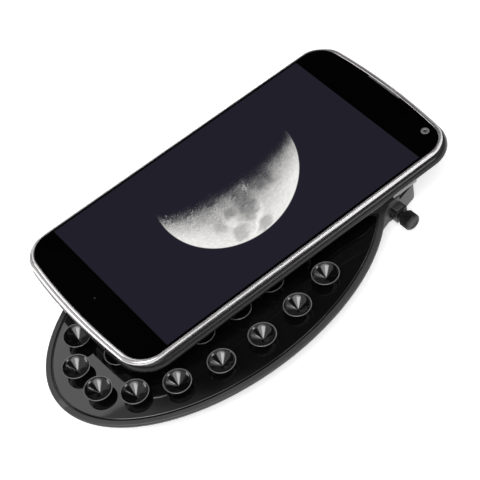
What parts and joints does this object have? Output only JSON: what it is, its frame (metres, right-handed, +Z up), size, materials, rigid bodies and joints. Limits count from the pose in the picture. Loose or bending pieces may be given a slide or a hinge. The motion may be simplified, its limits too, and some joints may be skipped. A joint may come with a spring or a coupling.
{
  "type": "phone eyepiece adapter",
  "caption": "Oval plate of suction cups with an eyepiece clamp collar and thumb screw, holding a smartphone over a telescope eyepiece.",
  "frame": {"origin": "centre of the eyepiece bore's mouth, at the collar's lower face", "axes": "+Z up the bore's axis towards the phone's lens, +Y along the plate's long axis from the oval out past the collar, +X towards the thumb screw"},
  "size_m": [0.0874, 0.1537, 0.0218],
  "materials": {
    "piano_black": "mirror-gloss moulded black",
    "satin_grey": "fine satin dark grey moulding",
    "black_steel": "blackened steel",
    "nylon": "natural nylon",
    "knob_black": "knurled black moulding",
    "cup_silicone": "glossy black silicone",
    "black_glass": "black-backed cover glass",
    "screen": "lit display showing a half moon",
    "bright_trim": "bright plated trim",
    "alloy": "stamped bright metal",
    "band_grey": "soft-touch dark grey",
    "back_glass": "gloss black back",
    "battery_wrap": "black foil wrap",
    "board_green": "green solder mask",
    "lens_ring": "dark grey metal",
    "clear_window": "coated lens window",
    "dark_plastic": "black engineering plastic",
    "grille_metal": "fine bright mesh",
    "button_grey": "satin light grey",
    "gold_can": "gold plated can"
  },
  "bodies": {
    "adapter": {"glossy_inlay": "piano_black", "upper_shell": "satin_grey", "lower_shell": "satin_grey", "shell_screws": "black_steel", "eyepiece_collar": "satin_grey", "thread_nut": "black_steel", "nut_key": "satin_grey", "outer_cup_01": "cup_silicone", "outer_cup_02": "cup_silicone", "outer_cup_03": "cup_silicone", "outer_cup_04": "cup_silicone", "outer_cup_05": "cup_silicone", "outer_cup_06": "cup_silicone", "outer_cup_07": "cup_silicone", "outer_cup_08": "cup_silicone", "outer_cup_09": "cup_silicone", "outer_cup_10": "cup_silicone", "outer_cup_11": "cup_silicone", "outer_cup_12": "cup_silicone", "outer_cup_13": "cup_silicone", "outer_cup_14": "cup_silicone", "inner_cup_01": "cup_silicone", "inner_cup_02": "cup_silicone", "inner_cup_03": "cup_silicone", "inner_cup_04": "cup_silicone", "inner_cup_05": "cup_silicone", "inner_cup_06": "cup_silicone", "inner_cup_07": "cup_silicone", "inner_cup_08": "cup_silicone", "inner_cup_09": "cup_silicone", "inner_cup_10": "cup_silicone", "inner_cup_11": "cup_silicone"},
    "screw_tip": {"screw_tip": "nylon"},
    "thumb_screw": {"screw_stud": "black_steel", "screw_knob": "knob_black"},
    "phone": {"front_glass": "black_glass", "display_panel": "screen", "trim_ring": "bright_trim", "mid_frame": "alloy", "side_band": "band_grey", "back_cover": "back_glass", "battery": "battery_wrap", "logic_board": "board_green", "board_shields": "alloy", "front_camera": "lens_ring", "rear_camera": "lens_ring", "rear_window": "clear_window", "flash_lamp": "nylon", "earpiece": "dark_plastic", "earpiece_grille": "grille_metal", "loudspeaker": "dark_plastic", "buzz_motor": "alloy", "charging_socket": "alloy", "audio_socket": "dark_plastic", "bottom_screws": "alloy", "microphone": "gold_can"},
    "power_button": {"power_button": "button_grey"},
    "volume_rocker": {"volume_rocker": "button_grey"},
    "sim_tray": {"sim_tray": "alloy"}
  },
  "joints": [
    {"name": "screw_advance", "type": "slide", "parent": "adapter", "child": "screw_tip", "axis": [-1, 0, 0], "range_m": [-0.0035, 0.00045]},
    {"name": "screw_turn", "type": "hinge", "parent": "screw_tip", "child": "thumb_screw", "pos_m": [0.02, 0, 0.0043], "axis": [-1, 0, 0], "range_deg": [-1801, 232]},
    {"name": "phone_lift", "type": "slide", "parent": "adapter", "child": "phone", "axis": [0, 0, 1], "range_m": [0, 0.04]},
    {"name": "power_press", "type": "slide", "parent": "phone", "child": "power_button", "axis": [-0.9994, 0.0333, 0], "range_m": [0, 0.0003], "stiffness_N_per_m": 600, "springref_m": -0.0005},
    {"name": "volume_rock", "type": "hinge", "parent": "phone", "child": "volume_rocker", "pos_m": [-0.04531, 0.00597, 0.0171], "axis": [0, 0, 1], "range_deg": [-1.2, 1.2], "stiffness_Nm_per_rad": 0.05},
    {"name": "sim_tray_out", "type": "slide", "parent": "phone", "child": "sim_tray", "axis": [-0.9994, 0.0333, 0], "range_m": [0, 0.019]}
  ],
  "couplings": [
    {"joint": "screw_turn", "follows": "screw_advance", "rad_per_m": 8976}
  ]
}
